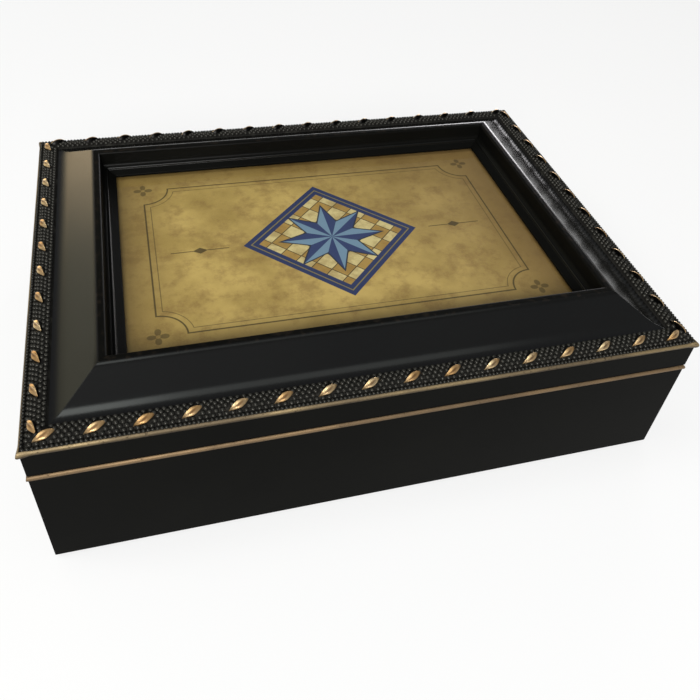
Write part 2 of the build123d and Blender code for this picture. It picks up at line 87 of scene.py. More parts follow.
# %% A socket that can be reckoned with
class Wire:
    """One socket of a node tree. Its operators add Math nodes to that tree."""

    def __init__(self, tree, socket=None):
        self.tree = tree
        self.socket = socket

    def feed(self, target, value):
        """Link a wire to a socket, or set the socket to a plain value."""
        if isinstance(value, Wire):
            self.tree.links.new(value.socket, target)
        else:
            target.default_value = value

    def node(self, kind, settings=None, inputs=None, output=0):
        """Add a node of any kind and return one of its outputs."""
        made = self.tree.nodes.new(kind)
        for name, value in (settings or {}).items():
            setattr(made, name, value)
        for name, value in (inputs or {}).items():
            self.feed(made.inputs[name], value)
        return Wire(self.tree, made.outputs[output])

    def maths(self, operation, *values):
        """Add a Math node on some values."""
        return self.node("ShaderNodeMath", {"operation": operation}, dict(enumerate(values)))

    def __add__(self, other):
        return self.maths("ADD", self, other)

    def __radd__(self, other):
        return self.maths("ADD", other, self)

    def __sub__(self, other):
        return self.maths("SUBTRACT", self, other)

    def __rsub__(self, other):
        return self.maths("SUBTRACT", other, self)

    def __mul__(self, other):
        return self.maths("MULTIPLY", self, other)

    def __rmul__(self, other):
        return self.maths("MULTIPLY", other, self)

    def __truediv__(self, other):
        return self.maths("DIVIDE", self, other)

    def __rtruediv__(self, other):
        return self.maths("DIVIDE", other, self)

    def __pow__(self, other):
        return self.maths("POWER", self, other)

    def __abs__(self):
        return self.maths("ABSOLUTE", self)

    def above(self, edge, soft):
        """A mask: 0 below the edge, 1 above it, with a soft step between."""
        return self.node(
            "ShaderNodeMapRange",
            {"interpolation_type": "SMOOTHSTEP"},
            {"Value": self, "From Min": edge - soft, "From Max": edge + soft},
        )

    def within(self, low, high, soft):
        """A mask: 1 between two edges and 0 outside them."""
        return self.above(low, soft) - self.above(high, soft)

    def tone(self, first, second):
        """The colour between two colours, with this wire as the share of the second."""
        return self.node(
            "ShaderNodeMix", {"data_type": "RGBA"}, {0: self, 6: first, 7: second}, output=2
        )

    def noise(self, scale, detail=2.0, roughness=0.5):
        """Noise over this wire's coordinates, with so many lumps to the metre."""
        return self.node(
            "ShaderNodeTexNoise",
            {},
            {"Vector": self, "Scale": scale, "Detail": detail, "Roughness": roughness},
        )

    def stretched(self, scale):
        """These coordinates squeezed by three factors, so that a pattern is drawn out."""
        return self.node("ShaderNodeMapping", {}, {"Vector": self, "Scale": scale})

    def axis(self, letter):
        """One of these three coordinates."""
        return self.node("ShaderNodeSeparateXYZ", {}, {"Vector": self}, output=letter)

    def attribute(self, name):
        """A number that the mesh keeps under this name."""
        return self.node("ShaderNodeAttribute", {"attribute_name": name}, output="Fac")


def tint(code):
    """A web colour as the linear colour that a shader's socket takes."""
    parts = [int(code[place : place + 2], 16) / 255 for place in (0, 2, 4)]
    linear = [((part + 0.055) / 1.055) ** 2.4 if part > 0.04045 else part / 12.92 for part in parts]
    return (*linear, 1.0)


# %% [markdown]
# Each finish starts from a Principled shader and the Object coordinates, which stay with the piece
# from any side. What is the same all over goes on the shader's own sockets, and what varies comes
# from the nodes behind Base Color, Roughness, Coat Weight and Normal.


# %% Start a finish
finishes = {}


def start_finish(name, **constants):
    """A new material with its shader's constants set, the shader and the Object coordinates."""
    material = bpy.data.materials.new(name)
    material.use_nodes = True
    shader = material.node_tree.nodes["Principled BSDF"]
    for socket, value in constants.items():
        shader.inputs[socket.replace("_", " ")].default_value = value
    place = Wire(material.node_tree).node("ShaderNodeTexCoord", output="Object")
    finishes[name] = material
    return shader, place


def wear(place, shader, colour, roughness, height=None, depth=0.0):
    """Feed a finish's colour, roughness and relief, which is so many metres deep."""
    place.feed(shader.inputs["Base Color"], colour)
    place.feed(shader.inputs["Roughness"], roughness)
    if height is not None:
        bump = place.node("ShaderNodeBump", {}, {"Strength": 1.0, "Distance": depth, "Height": height})
        place.feed(shader.inputs["Normal"], bump)


# %% [markdown]
# The lacquer is black, sprayed and rubbed down. The case, the flat edge of the lid, the flat of the
# crest and the steep inside of the frame are satin. The cove and the slope are polished, the small
# bead at the glass is half polished, and the front crest is worn dull. The polish is a clear coat
# whose weight varies. Under it the film is nearly featureless, so its detail is small: a faint orange
# peel, a cloudiness where hands have wiped it, a few specks of dust, and a brownish rub on the crest
# and the lowest edge, where the film is thin.

# %% Black lacquer for the wood
shader, place = start_finish("black_lacquer", Specular_IOR_Level=0.02, Coat_Roughness=0.2)
x, y, height = [place.axis(letter) / MM for letter in "XYZ"]
cloud = place.noise(38.0, 4.0)
specks = place.noise(2400.0, 1.0).above(0.79, 0.015)
CREST_TOP, CREST_SHOULDER, BEAD_SEAT, LOWEST_EDGE = 59.35, 58.9, 51.9, 1.7
exposed = height.above(CREST_TOP, 0.1) + (1 - height.above(LOWEST_EDGE, 0.4))
thin_film = exposed * place.noise(420.0, 5.0).above(0.58, 0.08)
film = cloud.tone(tint("080807"), tint("10100e"))
film = (thin_film * 0.2).tone(film, tint("3a3026"))
film = (specks * 0.3).tone(film, tint("3a3a37"))
peel = place.noise(620.0, 2.0) + place.noise(2600.0, 1.0) * 0.25
wear(place, shader, film, 0.34 + cloud * 0.12 + thin_film * 0.1 + specks * 0.15, peel, 0.000008)
CREST_HALF_LENGTH, CREST_HALF_WIDTH, FRONT_CREST = 80.2, 54.8, 54.0
from_crest = place.maths("MAXIMUM", abs(x) - CREST_HALF_LENGTH, abs(y) - CREST_HALF_WIDTH)
shiny = from_crest.above(0.0, 0.3) + from_crest.within(-4.5, -3.3, 0.1) * 0.45
worn = height.above(CREST_SHOULDER, 0.3) * (0 - y).above(FRONT_CREST, 6.0)
polish = height.above(BEAD_SEAT, 0.4) * (0.05 + shiny * 0.95) * (1 - worn * 0.6)
place.feed(shader.inputs["Coat Weight"], polish * (0.98 - cloud * 0.2))
print("black lacquer has", len(place.tree.nodes), "nodes")

# %% [markdown]
# The pearls are polished black balls on a dull ground. A clear coat mirrors most at grazing angles,
# and on balls so small that would draw a pale ring round each. A dark metal mirrors about the same
# from every side, so the pearls are partly that, with a dark tint at the rim, and keep their points
# of light. The ground carries an attribute, which makes it darker and dull, and a little dust has
# settled there.

# %% Black pearls
shader, place = start_finish("pearl_lacquer", Metallic=0.6, Specular_IOR_Level=0.02)
shader.inputs["Specular Tint"].default_value = tint("404040")
ground = place.attribute("ground")
gloss = place.noise(900.0, 2.0)
dust = place.noise(260.0, 4.0).above(0.6, 0.12)
pearl = gloss.tone(tint("343330"), tint("403f3b"))
pearl = ground.tone(pearl, dust.tone(tint("262523"), tint("353430")))
wear(place, shader, pearl, 0.18 + gloss * 0.1 + ground * 0.45, gloss, 0.000006)
print("black pearls have", len(place.tree.nodes), "nodes")

# %% [markdown]
# The gilding is old gold paint over a black ground. It is brushed on, so it is uneven, brighter where
# it is thick and brown where it is rubbed through. The leaves carry two attributes from their maker:
# hollow_and_shade, where the carving is deep and a brown glaze has stayed, with a little painted shade
# over the whole outer side; and bare, black on the steep sides and the innermost strip, which
# the brush never reached, and on the steep sides also a painted shade round each leaf. On the beads
# both are absent and read as nought, and instead the lower part of each bead is painted dark with the
# glaze colour, a painted shade.


# %% Gilding for the leaves, a duller one for the upper bead and a coppery one for the lower
def gilding(name, metallic, tones, patch, rub, shade_below_height, dullness):
    """Old metal paint: bright and dull tones in patches, a dark glaze in hollows, and painted shade on the
    underside.
    """
    bright, dull, glaze_and_shade = [tint(code) for code in tones]
    shader, place = start_finish(name, Metallic=metallic)
    height = place.axis("Z") / MM
    brushing = place.noise(310.0, 4.0, 0.6)
    patches = place.noise(patch, 3.0).above(0.5, 0.13)
    rubbed = place.noise(850.0, 4.0, 0.65).above(rub, 0.05)
    # The leaves' attributes: a glaze in the groove with a little painted shade over the outer side, and
    # black where the leaf is bare, which on its steep sides is also a painted shade.
    hollow_and_shade = place.attribute("hollow_and_shade")
    bare = place.attribute("bare").above(0.16, 0.1)
    metal = patches.tone(dull, bright)
    metal = (brushing.above(0.62, 0.12) * 0.4).tone(metal, dull)
    metal = (rubbed * 0.7).tone(metal, glaze_and_shade)
    # Below the given height the colour turns to the glaze colour: a painted shade on the underside of a
    # bead.
    below = 1 - (height + brushing * 0.5 - 0.25).above(shade_below_height, 0.3)
    metal = hollow_and_shade.maths("MAXIMUM", hollow_and_shade, below * 0.75).tone(metal, glaze_and_shade)
    metal = bare.tone(metal, tint("0b0a09"))
    grain = place.noise(1500.0, 3.0, 0.6)
    gloss = dullness - patches * 0.12 + brushing * 0.12 + rubbed * 0.2 + hollow_and_shade * 0.2
    wear(place, shader, metal, gloss, grain, 0.00003)
    print(name, "has", len(place.tree.nodes), "nodes")


OLD_GOLD = ("f0d3a4", "cba26d", "5f3e22")
DULL_GOLD = ("8c7a59", "655844", "2f2519")
COPPER = ("7d674b", "6c5a44", "3a2b1e")
gilding("old_gilt", 0.85, OLD_GOLD, patch=95.0, rub=0.7, shade_below_height=0.0, dullness=0.3)
gilding("edge_gilt", 0.75, DULL_GOLD, patch=36.0, rub=0.64, shade_below_height=51.3, dullness=0.54)
gilding("copper_gilt", 0.75, COPPER, patch=60.0, rub=0.66, shade_below_height=40.3, dullness=0.58)

# %% [markdown]
# The linings are cotton velvet glued over card. Velvet is bright at grazing angles, which is the
# sheen socket's work; the nodes add the nap, brushed one way in some patches and another way in
# others, which shows as lighter and darker patches painted into the colour, a painted sheen, and a
# fine pile. The felt under the case is a pressed mat of fibres in all directions.

# %% Velvet and felt
shader, place = start_finish("lining_cloth", Sheen_Weight=0.6, Sheen_Roughness=0.35, Specular_IOR_Level=0.1)
shader.inputs["Sheen Tint"].default_value = tint("b3474f")
nap = place.noise(55.0, 4.0, 0.6)
pile = place.noise(3800.0, 2.0)
# The lighter and darker patches of the nap are a painted sheen.
velvet = nap.above(0.5, 0.16).tone(tint("3d0910"), tint("561019"))
velvet = (pile.above(0.55, 0.2) * 0.55).tone(velvet, tint("22040a"))
wear(place, shader, velvet, 0.82 + nap * 0.12, pile + nap * 0.6, 0.00022)

shader, place = start_finish("felt", Sheen_Weight=0.25, Sheen_Roughness=0.6, Specular_IOR_Level=0.1)
fibres = place.stretched((1.0, 3.0, 1.0)).noise(1300.0, 4.0, 0.7)
crossed = place.stretched((3.0, 1.0, 1.0)).noise(1100.0, 4.0, 0.7)
mat = fibres.maths("MAXIMUM", fibres, crossed)
felt = mat.above(0.6, 0.14).tone(tint("141614"), tint("30332f"))
wear(place, shader, felt, 0.86 + mat * 0.1, mat, 0.00035)
print("velvet and felt are ready")

# %% [markdown]
# What is hidden is made of the plain stuffs of a framer's bench: hardboard with its flecks of fibre,
# grey card, and steel points and nails. The brass hinges have the fine lines of the rolling mill.


# %% Bench materials
def speckled(name, base, fleck, scale, roughness, depth):
    """A pressed board with short flecks of fibre."""
    shader, place = start_finish(name, Specular_IOR_Level=0.3)
    flecks = place.stretched((1.0, 2.6, 1.0)).noise(scale, 4.0, 0.65)
    blotch = place.noise(60.0, 3.0)
    board = flecks.above(0.57, 0.1).tone(base, fleck)
    board = (blotch * 0.35).tone(board, fleck)
    wear(place, shader, board, roughness + blotch * 0.12, flecks, depth)


def rolled_metal(name, bright, dull, roughness):
    """A rolled sheet metal, with mill lines along X and a patchy tarnish."""
    shader, place = start_finish(name, Metallic=1.0)
    lines = place.stretched((0.04, 1.0, 1.0)).noise(3200.0, 3.0, 0.6)
    tarnish = place.noise(210.0, 5.0, 0.6).above(0.55, 0.16)
    metal = (tarnish * 0.8).tone(bright, dull)
    wear(place, shader, metal, roughness + lines * 0.14 + tarnish * 0.16, lines, 0.000012)


speckled("bare_board", tint("7b5a3a"), tint("4e3520"), 900.0, 0.68, 0.00006)
speckled("grey_card", tint("96928a"), tint("6f6b64"), 1500.0, 0.8, 0.00004)
rolled_metal("hinge_brass", tint("d0a85c"), tint("8a6a34"), 0.24)
rolled_metal("steel", tint("b9bcc0"), tint("7d7468"), 0.3)
print("finishes so far:", sorted(finishes))

# %% [markdown]
# The picture is a parchment-coloured card printed in browns, ambers and navy. The print here is a
# plain pattern-book one: an eight-pointed star on a checked tile with a navy edge, a ruled border with
# scooped corners and a sprig in each, and a divider at each side. It is drawn with shader maths in
# millimetres from the middle of the card, so it stays sharp at any distance.

# %% The printed card: paper and border
shader, place = start_finish("printed_paper", Specular_IOR_Level=0.25)
card_x = place.axis("X") / MM
card_y = place.axis("Y") / MM
across = abs(card_x)
up = abs(card_y)
mottle = place.noise(42.0, 6.0, 0.62)
foxing = place.noise(150.0, 5.0, 0.65)
fibre = place.stretched((1.0, 2.2, 1.0)).noise(1500.0, 3.0, 0.6)
paper = mottle.above(0.5, 0.2).tone(tint("a88b4c"), tint("ceae68"))
paper = (foxing.above(0.56, 0.13) * 0.6).tone(paper, tint("886839"))
paper = (fibre.above(0.6, 0.16) * 0.3).tone(paper, tint("c8a86c"))
SHOWN_X, SHOWN_Y = 72.7, 47.3
# Towards the edges of the opening the card is painted darker, unevenly: a painted shade from the frame's lip
# and sides.
edge = across.maths("MAXIMUM", across / SHOWN_X, up / SHOWN_Y) + (mottle - 0.5) * 0.22
paper = (edge.above(0.88, 0.17) * 0.7).tone(paper, tint("6b512c"))
# Towards the right and the back the card is painted darker: a painted shade.
paper = ((card_x + card_y * 0.4).above(40.0, 50.0) * 0.6).tone(paper, tint("7a5e3c"))

BORDER_X = 64.0
BORDER_Y = 39.0
SCOOP = 9.0
INK_WIDTH = 0.28
SECOND_RULE = -2.1
to_corner = ((BORDER_X - across) ** 2 + (BORDER_Y - up) ** 2) ** 0.5
inside = across.maths("MAXIMUM", across - BORDER_X, up - BORDER_Y)
scooped = inside.maths("MAXIMUM", inside, SCOOP - to_corner)
ink = scooped.within(-INK_WIDTH, INK_WIDTH, 0.12)
ink = ink + scooped.within(SECOND_RULE - INK_WIDTH / 2, SECOND_RULE + INK_WIDTH / 2, 0.12) * 0.8
corner_turn = across.maths("ARCTAN2", up - BORDER_Y, across - BORDER_X) * 2
sprig = abs(across.maths("COSINE", corner_turn)) ** 0.8 * 3.4
sprig = (1 - (to_corner - sprig).above(0.0, 0.15)) * to_corner.above(0.7, 0.12)
ink = ink + sprig * 0.7
print("border of", 2 * BORDER_X, "by", 2 * BORDER_Y, "mm")

# %% The printed card: dividers and tile
DIVIDER_START, DIVIDER_END = 37.0, 57.0
divider = across.within(DIVIDER_START, DIVIDER_END, 0.15) * up.within(-1.0, 0.2, 0.1)
diamond = abs(across - (DIVIDER_START + DIVIDER_END) / 2) + up * 1.6
divider = divider.maths("MAXIMUM", divider, 1 - diamond.above(2.6, 0.15))
ink = ink.maths("MAXIMUM", ink, divider)
print_colour = (ink.maths("MINIMUM", ink, 1.0) * 0.85).tone(paper, tint("3f321b"))

TILE = 32.0
TILE_EDGE = 5.5
GRID = 8.8
reach = across + up
checks = ((card_x + card_y) / GRID).maths("PINGPONG", (card_x + card_y) / GRID, 1.0)
crossed_checks = ((card_x - card_y) / GRID).maths("PINGPONG", (card_x - card_y) / GRID, 1.0)
alike = (checks.above(0.5, 0.01) - crossed_checks.above(0.5, 0.01)) ** 2
field = alike.tone(tint("b08c4c"), tint("d9c48d"))
field = (foxing.above(0.5, 0.12) * 0.5).tone(field, tint("8d6a35"))
seam = abs(checks - 0.5).maths("MINIMUM", abs(checks - 0.5), abs(crossed_checks - 0.5))
field = (1 - seam.above(0.025, 0.012)).tone(field, tint("3b2d1c"))
print("tile of", 2 * TILE, "mm from corner to corner")

# %% The printed card: star
STAR_TIP = 19.0
STAR_NOTCH = 9.5
notch_x = STAR_NOTCH * cos(pi / 8)
notch_y = STAR_NOTCH * sin(pi / 8)
radius = (card_x * card_x + card_y * card_y) ** 0.5
turn = card_y.maths("ARCTAN2", card_y, card_x) / (pi / 4) + 0.5
half = turn.maths("FRACT", turn) - 0.5
from_tip = abs(half) * (pi / 4)
along_tip = radius * from_tip.maths("COSINE", from_tip)
off_tip = radius * from_tip.maths("SINE", from_tip)
edge_length = (notch_y**2 + (STAR_TIP - notch_x) ** 2) ** 0.5
past_edge = (along_tip * notch_y + off_tip * (STAR_TIP - notch_x) - STAR_TIP * notch_y) / edge_length
star = half.above(0.0, 0.01).tone(tint("35406b"), tint("7690a8"))
tile = (1 - past_edge.above(0.0, 0.12)).tone(field, star)
tile = past_edge.within(-0.25, 0.25, 0.1).tone(tile, tint("2a2f3c"))
tile = reach.above(TILE - TILE_EDGE, 0.15).tone(tile, tint("2d3760"))
tile = reach.within(TILE - 3.1, TILE - 2.5, 0.12).tone(tile, tint("8a7a4a"))
printed = (1 - reach.above(TILE, 0.15)).tone(print_colour, tile)
wear(place, shader, printed, 0.5 + fibre * 0.12, fibre, 0.000015)
print("printed card:", len(place.tree.nodes), "nodes")

# %% [markdown]
# Picture glass is thin and flat, so what matters is that it mirrors a little, more at grazing
# angles, and otherwise lets the print show. A mirror mixed with a Transparent shader does that and
# keeps the lamps shining on the print. The mirror's share grows with the fifth power of Layer
# Weight's Facing, which is close to what glass does, and a breath of dust adds to it.

# %% Picture glass
shader, place = start_finish("glass", Metallic=1.0, Roughness=0.03)
shader.inputs["Base Color"].default_value = tint("f4f8f6")
wiped = place.stretched((1.0, 3.0, 1.0)).noise(70.0, 5.0, 0.6).above(0.6, 0.16)
facing = place.node("ShaderNodeLayerWeight", {}, {"Blend": 0.5}, output="Facing")
mirror = facing**5 * 0.7 + 0.03 + wiped * 0.006
clear = place.node("ShaderNodeBsdfTransparent", {}, {"Color": tint("fbfdfb")})
mixed = {0: mirror, 1: clear, 2: Wire(place.tree, shader.outputs[0])}
pane = place.node("ShaderNodeMixShader", {}, mixed)
place.feed(place.tree.nodes["Material Output"].inputs["Surface"], pane)
print("glass mixes a mirror and a clear film")

# %% [markdown]
# A strip of moulding is one section pushed along one side, with both ends cut at 45 degrees. Blender
# could sweep a curve, but a curve's ends are square. Here each point of the section is set at both
# ends, as far short of the corner as it lies inwards, so the mitres come out exact. A fine bevel then
# softens every arris, and on the mitres it leaves the hairline that a real joint shows.


# %% Strips with mitred ends
BEVEL_ANGLE = radians(32)


def plain_mesh(name, shape, bevel=0.0, cutters=()):
    """A finished mesh from a bmesh: cut, bevelled, shaded smooth, with nothing left to evaluate."""
    draft = bpy.data.meshes.new(name)
    bmesh.ops.recalc_face_normals(shape, faces=shape.faces)
    shape.to_mesh(draft)
    shape.free()
    holder = bpy.data.objects.new(name + "_draft", draft)
    bpy.context.scene.collection.objects.link(holder)
    for cutter in cutters:
        cut = holder.modifiers.new("recess", "BOOLEAN")
        cut.operation = "DIFFERENCE"
        cut.solver = "EXACT"
        cut.object = cutter
    if bevel:
        soften = holder.modifiers.new("arris", "BEVEL")
        soften.width = bevel
        soften.segments = 2
        soften.limit_method = "ANGLE"
        soften.angle_limit = BEVEL_ANGLE
        flatten = holder.modifiers.new("flat faces", "WEIGHTED_NORMAL")
        flatten.keep_sharp = True
    for face in draft.polygons:
        face.use_smooth = True
    draft.set_sharp_from_angle(angle=radians(50))
    return evaluated_mesh(holder, name)


def evaluated_mesh(holder, name):
    """The mesh that an object's modifiers give, with the object itself taken away."""
    bpy.context.view_layer.update()
    graph = bpy.context.evaluated_depsgraph_get()
    finished = bpy.data.meshes.new_from_object(holder.evaluated_get(graph), depsgraph=graph)
    finished.name = name
    draft = holder.data
    bpy.data.objects.remove(holder)
    bpy.data.meshes.remove(draft)
    return finished


def in_metres(section):
    """The points of a section that is drawn in millimetres."""
    return [(inward * MM, high * MM) for inward, high in section]


def strip_shape(half, sections):
    """A bmesh of one side's strip, from its sections at some distances from the corner."""
    shape = bmesh.new()
    rings = []
    stations = [(-1, distance) for distance in sections]
    stations += [(1, distance) for distance in reversed(sections)]
    for end, distance in stations:
        ring = []
        for inward, high in sections[distance]:
            ring.append(shape.verts.new((end * (half - inward - distance), inward, high)))
        rings.append(ring)
    count = len(rings[0])
    for near, far in zip(rings, rings[1:]):
        for number in range(count):
            following = (number + 1) % count
            shape.faces.new((near[number], near[following], far[following], far[number]))
    shape.faces.new(rings[0])
    shape.faces.new(rings[-1])
    return shape


def add_piece(name, mesh, finish, node, body):
    """Put a finished mesh in the scene in place of a CAD node, riding on that node's body."""
    piece = bpy.data.objects.new(name, mesh)
    bpy.context.scene.collection.objects.link(piece)
    mesh.materials.clear()
    mesh.materials.append(finishes[finish])
    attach(piece, body)
    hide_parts(node)
    return piece


def add_strip(kind, stands_for, side, sections, bevel, finish, body, cutters=()):
    """Make one side's strip, turn it into its place and put it in the scene."""
    name = f"{kind}_{side.name}"
    mesh = plain_mesh(name, strip_shape(side.half, sections), bevel, cutters)
    mesh.transform(side.place)
    add_piece(name, mesh, finish, f"{stands_for}_{side.name}", body)
    print(name, "has", len(mesh.polygons), "faces")


print("strips can be made for", len(SIDES), "sides")

# %% [markdown]
# The lid's moulding is the heart of the design: a flat fascia, a seat for the beads and pearls, a
# cove that sweeps up a long slope to a narrow crest, and a scoop that drops to a small bead at the
# glass. The section is drawn as straight runs, and its corners are rounded by the radii of the
# router bits that would cut them, in fine steps so that highlights run smoothly.


# %% Section of the lid moulding
def rounded_corner(before, corner, after, radius, steps):
    """Points of the arc that rounds one corner of a section."""
    before, corner, after = Vector(before), Vector(corner), Vector(after)
    back = (before - corner).normalized()
    on = (after - corner).normalized()
    half_angle = acos(max(-1.0, min(1.0, back.dot(on)))) / 2
    centre = corner + (back + on).normalized() * (radius / sin(half_angle))
    start = corner + back * (radius / tan(half_angle)) - centre
    finish = corner + on * (radius / tan(half_angle)) - centre
    begin = atan2(start.y, start.x)
    turn = (atan2(finish.y, finish.x) - begin + pi) % (2 * pi) - pi
    return [
        (
            centre.x + radius * cos(begin + turn * step / steps),
            centre.y + radius * sin(begin + turn * step / steps),
        )
        for step in range(steps + 1)
    ]


def arc_points(centre, radius, start, finish, steps):
    """Points of an arc, with angles in degrees from the section's Z axis towards the inside."""
    angles = [radians(start + (finish - start) * step / steps) for step in range(steps + 1)]
    return [(centre[0] + radius * sin(angle), centre[1] + radius * cos(angle)) for angle in angles]


FASCIA = [(0, 41.8), (0, 50.2), (1.3, 50.2), (1.3, 51.5), (6.0, 52.7)]
COVE, CREST_OUT, CREST_IN, SCOOP_FOOT = (9.6, 52.7), (20.5, 59.5), (23.2, 59.5), (23.6, 54.2)
INNER_BEAD = arc_points((24.95, 53.5), 0.45, -90, 90, 8)
LIP = [(25.4, 53.1), (28.0, 52.0), (28.0, 51.1), (24.5, 51.1), (24.5, 44.1), (18.0, 44.1), (18.0, 41.8)]
COVE_RADIUS, CREST_RADIUS, CREST_INNER_RADIUS, SCOOP_RADIUS = 9.0, 3.2, 0.92, 2.0
moulding = (
    FASCIA
    + rounded_corner(FASCIA[-1], COVE, CREST_OUT, COVE_RADIUS, 24)
    + rounded_corner(COVE, CREST_OUT, CREST_IN, CREST_RADIUS, 14)
    + rounded_corner(CREST_OUT, CREST_IN, SCOOP_FOOT, CREST_INNER_RADIUS, 12)
    + rounded_corner(CREST_IN, SCOOP_FOOT, INNER_BEAD[0], SCOOP_RADIUS, 8)
    + INNER_BEAD
    + LIP
)
print("the moulding's section has", len(moulding), "points")

# %% [markdown]
# At the back, the rail, the wall and the lower bead are recessed for the hinge plates. Two small
# blocks on each body, one for each hinge, are subtracted there with a Boolean before the arrises are
# bevelled, as a chisel would cut the recesses into a finished strip.

# %% Recesses for the hinges
RECESS_HEIGHTS = {"case": (40.6 * MM, 42.2 * MM), "lid": (41.0 * MM, 42.6 * MM)}
RECESS_DEPTH, RECESS_SPARE, OVERHANG = 6.7 * MM, 0.1 * MM, 2 * MM


def recess_blocks(body):
    """Blocks as large as the hinge plates of one body, in the place of the back side."""
    blocks = []
    back = SIDES[2].place.inverted()
    bottom, top = RECESS_HEIGHTS[body]
    for name in (f"hinge_left_{body}_plate", f"hinge_right_{body}_plate"):
        low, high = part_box(name)
        shape = bmesh.new()
        bmesh.ops.create_cube(shape, size=1.0)
        for vert in shape.verts:
            x = (low.x - RECESS_SPARE) if vert.co.x < 0 else (high.x + RECESS_SPARE)
            y = (HALF_WIDTH - RECESS_DEPTH) if vert.co.y < 0 else (HALF_WIDTH + OVERHANG)
            z = bottom if vert.co.z < 0 else top
            vert.co = back @ Vector((x, y, z))
        mesh = bpy.data.meshes.new(name + "_block")
        bmesh.ops.recalc_face_normals(shape, faces=shape.faces)
        shape.to_mesh(mesh)
        shape.free()
        block = bpy.data.objects.new(name + "_block", mesh)
        bpy.context.scene.collection.objects.link(block)
        blocks.append(block)
    return blocks


case_blocks = recess_blocks("case")
lid_blocks = recess_blocks("lid")
print("recess blocks:", len(case_blocks) + len(lid_blocks))

# %% Rails of the lid
RAIL_ARRIS = 0.14 * MM
rail = {0.0: in_metres(moulding)}
for side in SIDES:
    cutters = lid_blocks if side.name == "back" else ()
    add_strip("lacquered_rail", "lid_rail", side, rail, RAIL_ARRIS, "black_lacquer", "lid", cutters)

# %% [markdown]
# The case has plain walls. Their only shape is a seat for the gilt bead along the top and a rabbet
# for the floor below, and the lower outside arris is eased so that it doesn't chip.

# %% Walls of the case
WALL_ARRIS = 0.16 * MM
WALL_FOOT, WALL_EDGE, WALL_SEAT = (4.0, 1.0), (0, 1.0), (0, 39.5)
wall_section = rounded_corner(WALL_FOOT, WALL_EDGE, WALL_SEAT, 0.5, 5)
wall_section += [WALL_SEAT, (1.3, 39.5), (1.3, 41.4), (8.0, 41.4), (8.0, 4.0), (4.0, 4.0), WALL_FOOT]
wall = {0.0: in_metres(wall_section)}
for side in SIDES:
    cutters = case_blocks if side.name == "back" else ()
    add_strip("lacquered_wall", "case_wall", side, wall, WALL_ARRIS, "black_lacquer", "case", cutters)

# %% [markdown]
# Two gilt beads run round the box, one on the edge of the lid and one at the top of the case. They
# are half-round slips glued in and painted, and the paint has gathered in a small blob at each
# corner of the lid. The section is therefore swollen a little near the mitre.

# %% Gilt beads
BEAD_RADIUS = 0.95
BEAD_CENTRE = 0.55
BEAD_ARRIS = 0.06 * MM
SWELL_STEPS = ((0.0, 1.0), (0.5, 0.97), (1.1, 0.8), (1.8, 0.46), (2.6, 0.14), (3.6, 0.0))


def bead_section(bottom, swell):
    """Section of a half-round slip, swollen about its middle, with a flat for what lies behind it."""
    radius = BEAD_RADIUS * (1 + swell)
    middle = bottom + BEAD_RADIUS
    nose = arc_points((BEAD_CENTRE, middle), radius, 180, 342, 14)
    flat = middle + BEAD_RADIUS - 0.5
    return in_metres(nose + [(0.5, flat), (1.3, flat), (1.3, middle - radius)])


for row, bottom, most, finish in (("case", 39.5, 0.0, "copper_gilt"), ("lid", 50.2, 0.42, "edge_gilt")):
    bead = {distance * MM: bead_section(bottom, most * share) for distance, share in SWELL_STEPS}
    slot = "old_gilt" if row == "lid" else finish
    for side in SIDES:
        cutters = case_blocks if (row, side.name) == ("case", "back") else ()
        add_strip(
            f"gilded_bead_{row}", f"gilt_bead_{row}", side, bead, BEAD_ARRIS, finish, row, cutters
        )
    print("beads of the", row, "are", 2 * BEAD_RADIUS, "mm thick")

# %% [markdown]
# Behind the upper bead lies the ornament: a row of very small pearls, a groove, and a rounded band
# with five rows of larger pearls set like bricks. Hundreds of equal balls on each side that follow a
# rule are work for Geometry Nodes. The tree bends a flat grid of points over the band's crown, drops
# the points that a leaf covers or that lie past the mitre, and sets a pearl on each of the others.
# The small pearls start from a grid of two lines, because a grid needs two, and one line is dropped.


# %% Helpers for a Geometry Nodes tree
def start_tree(name, sizes):
    """A geometry tree with named inputs, and a wire for each of them."""
    tree = bpy.data.node_groups.new(name, "GeometryNodeTree")
    tree.interface.new_socket("Geometry", in_out="INPUT", socket_type="NodeSocketGeometry")
    for label, (kind, _) in sizes.items():
        tree.interface.new_socket(label, in_out="INPUT", socket_type=kind)
    tree.interface.new_socket("Geometry", in_out="OUTPUT", socket_type="NodeSocketGeometry")
    entry = tree.nodes.new("NodeGroupInput")
    wires = {socket.name: Wire(tree, socket) for socket in entry.outputs if socket.name}
    return tree, wires


def close_tree(tree, result):
    """Lead a wire to the tree's output."""
    exit_node = tree.nodes.new("NodeGroupOutput")
    tree.links.new(result.socket, exit_node.inputs[0])


def grown_mesh(name, mesh, tree, sizes):
    """The plain mesh that a tree makes of a starting mesh."""
    holder = bpy.data.objects.new(name + "_draft", mesh)
    modifier = holder.modifiers.new("ornament", "NODES")
    modifier.node_group = tree
    inputs = [item for item in tree.interface.items_tree if item.in_out == "INPUT"]
    identifiers = {item.name: item.identifier for item in inputs}
    for label, (_, value) in sizes.items():
        modifier[identifiers[label]] = value
    bpy.context.scene.collection.objects.link(holder)
    return evaluated_mesh(holder, name)


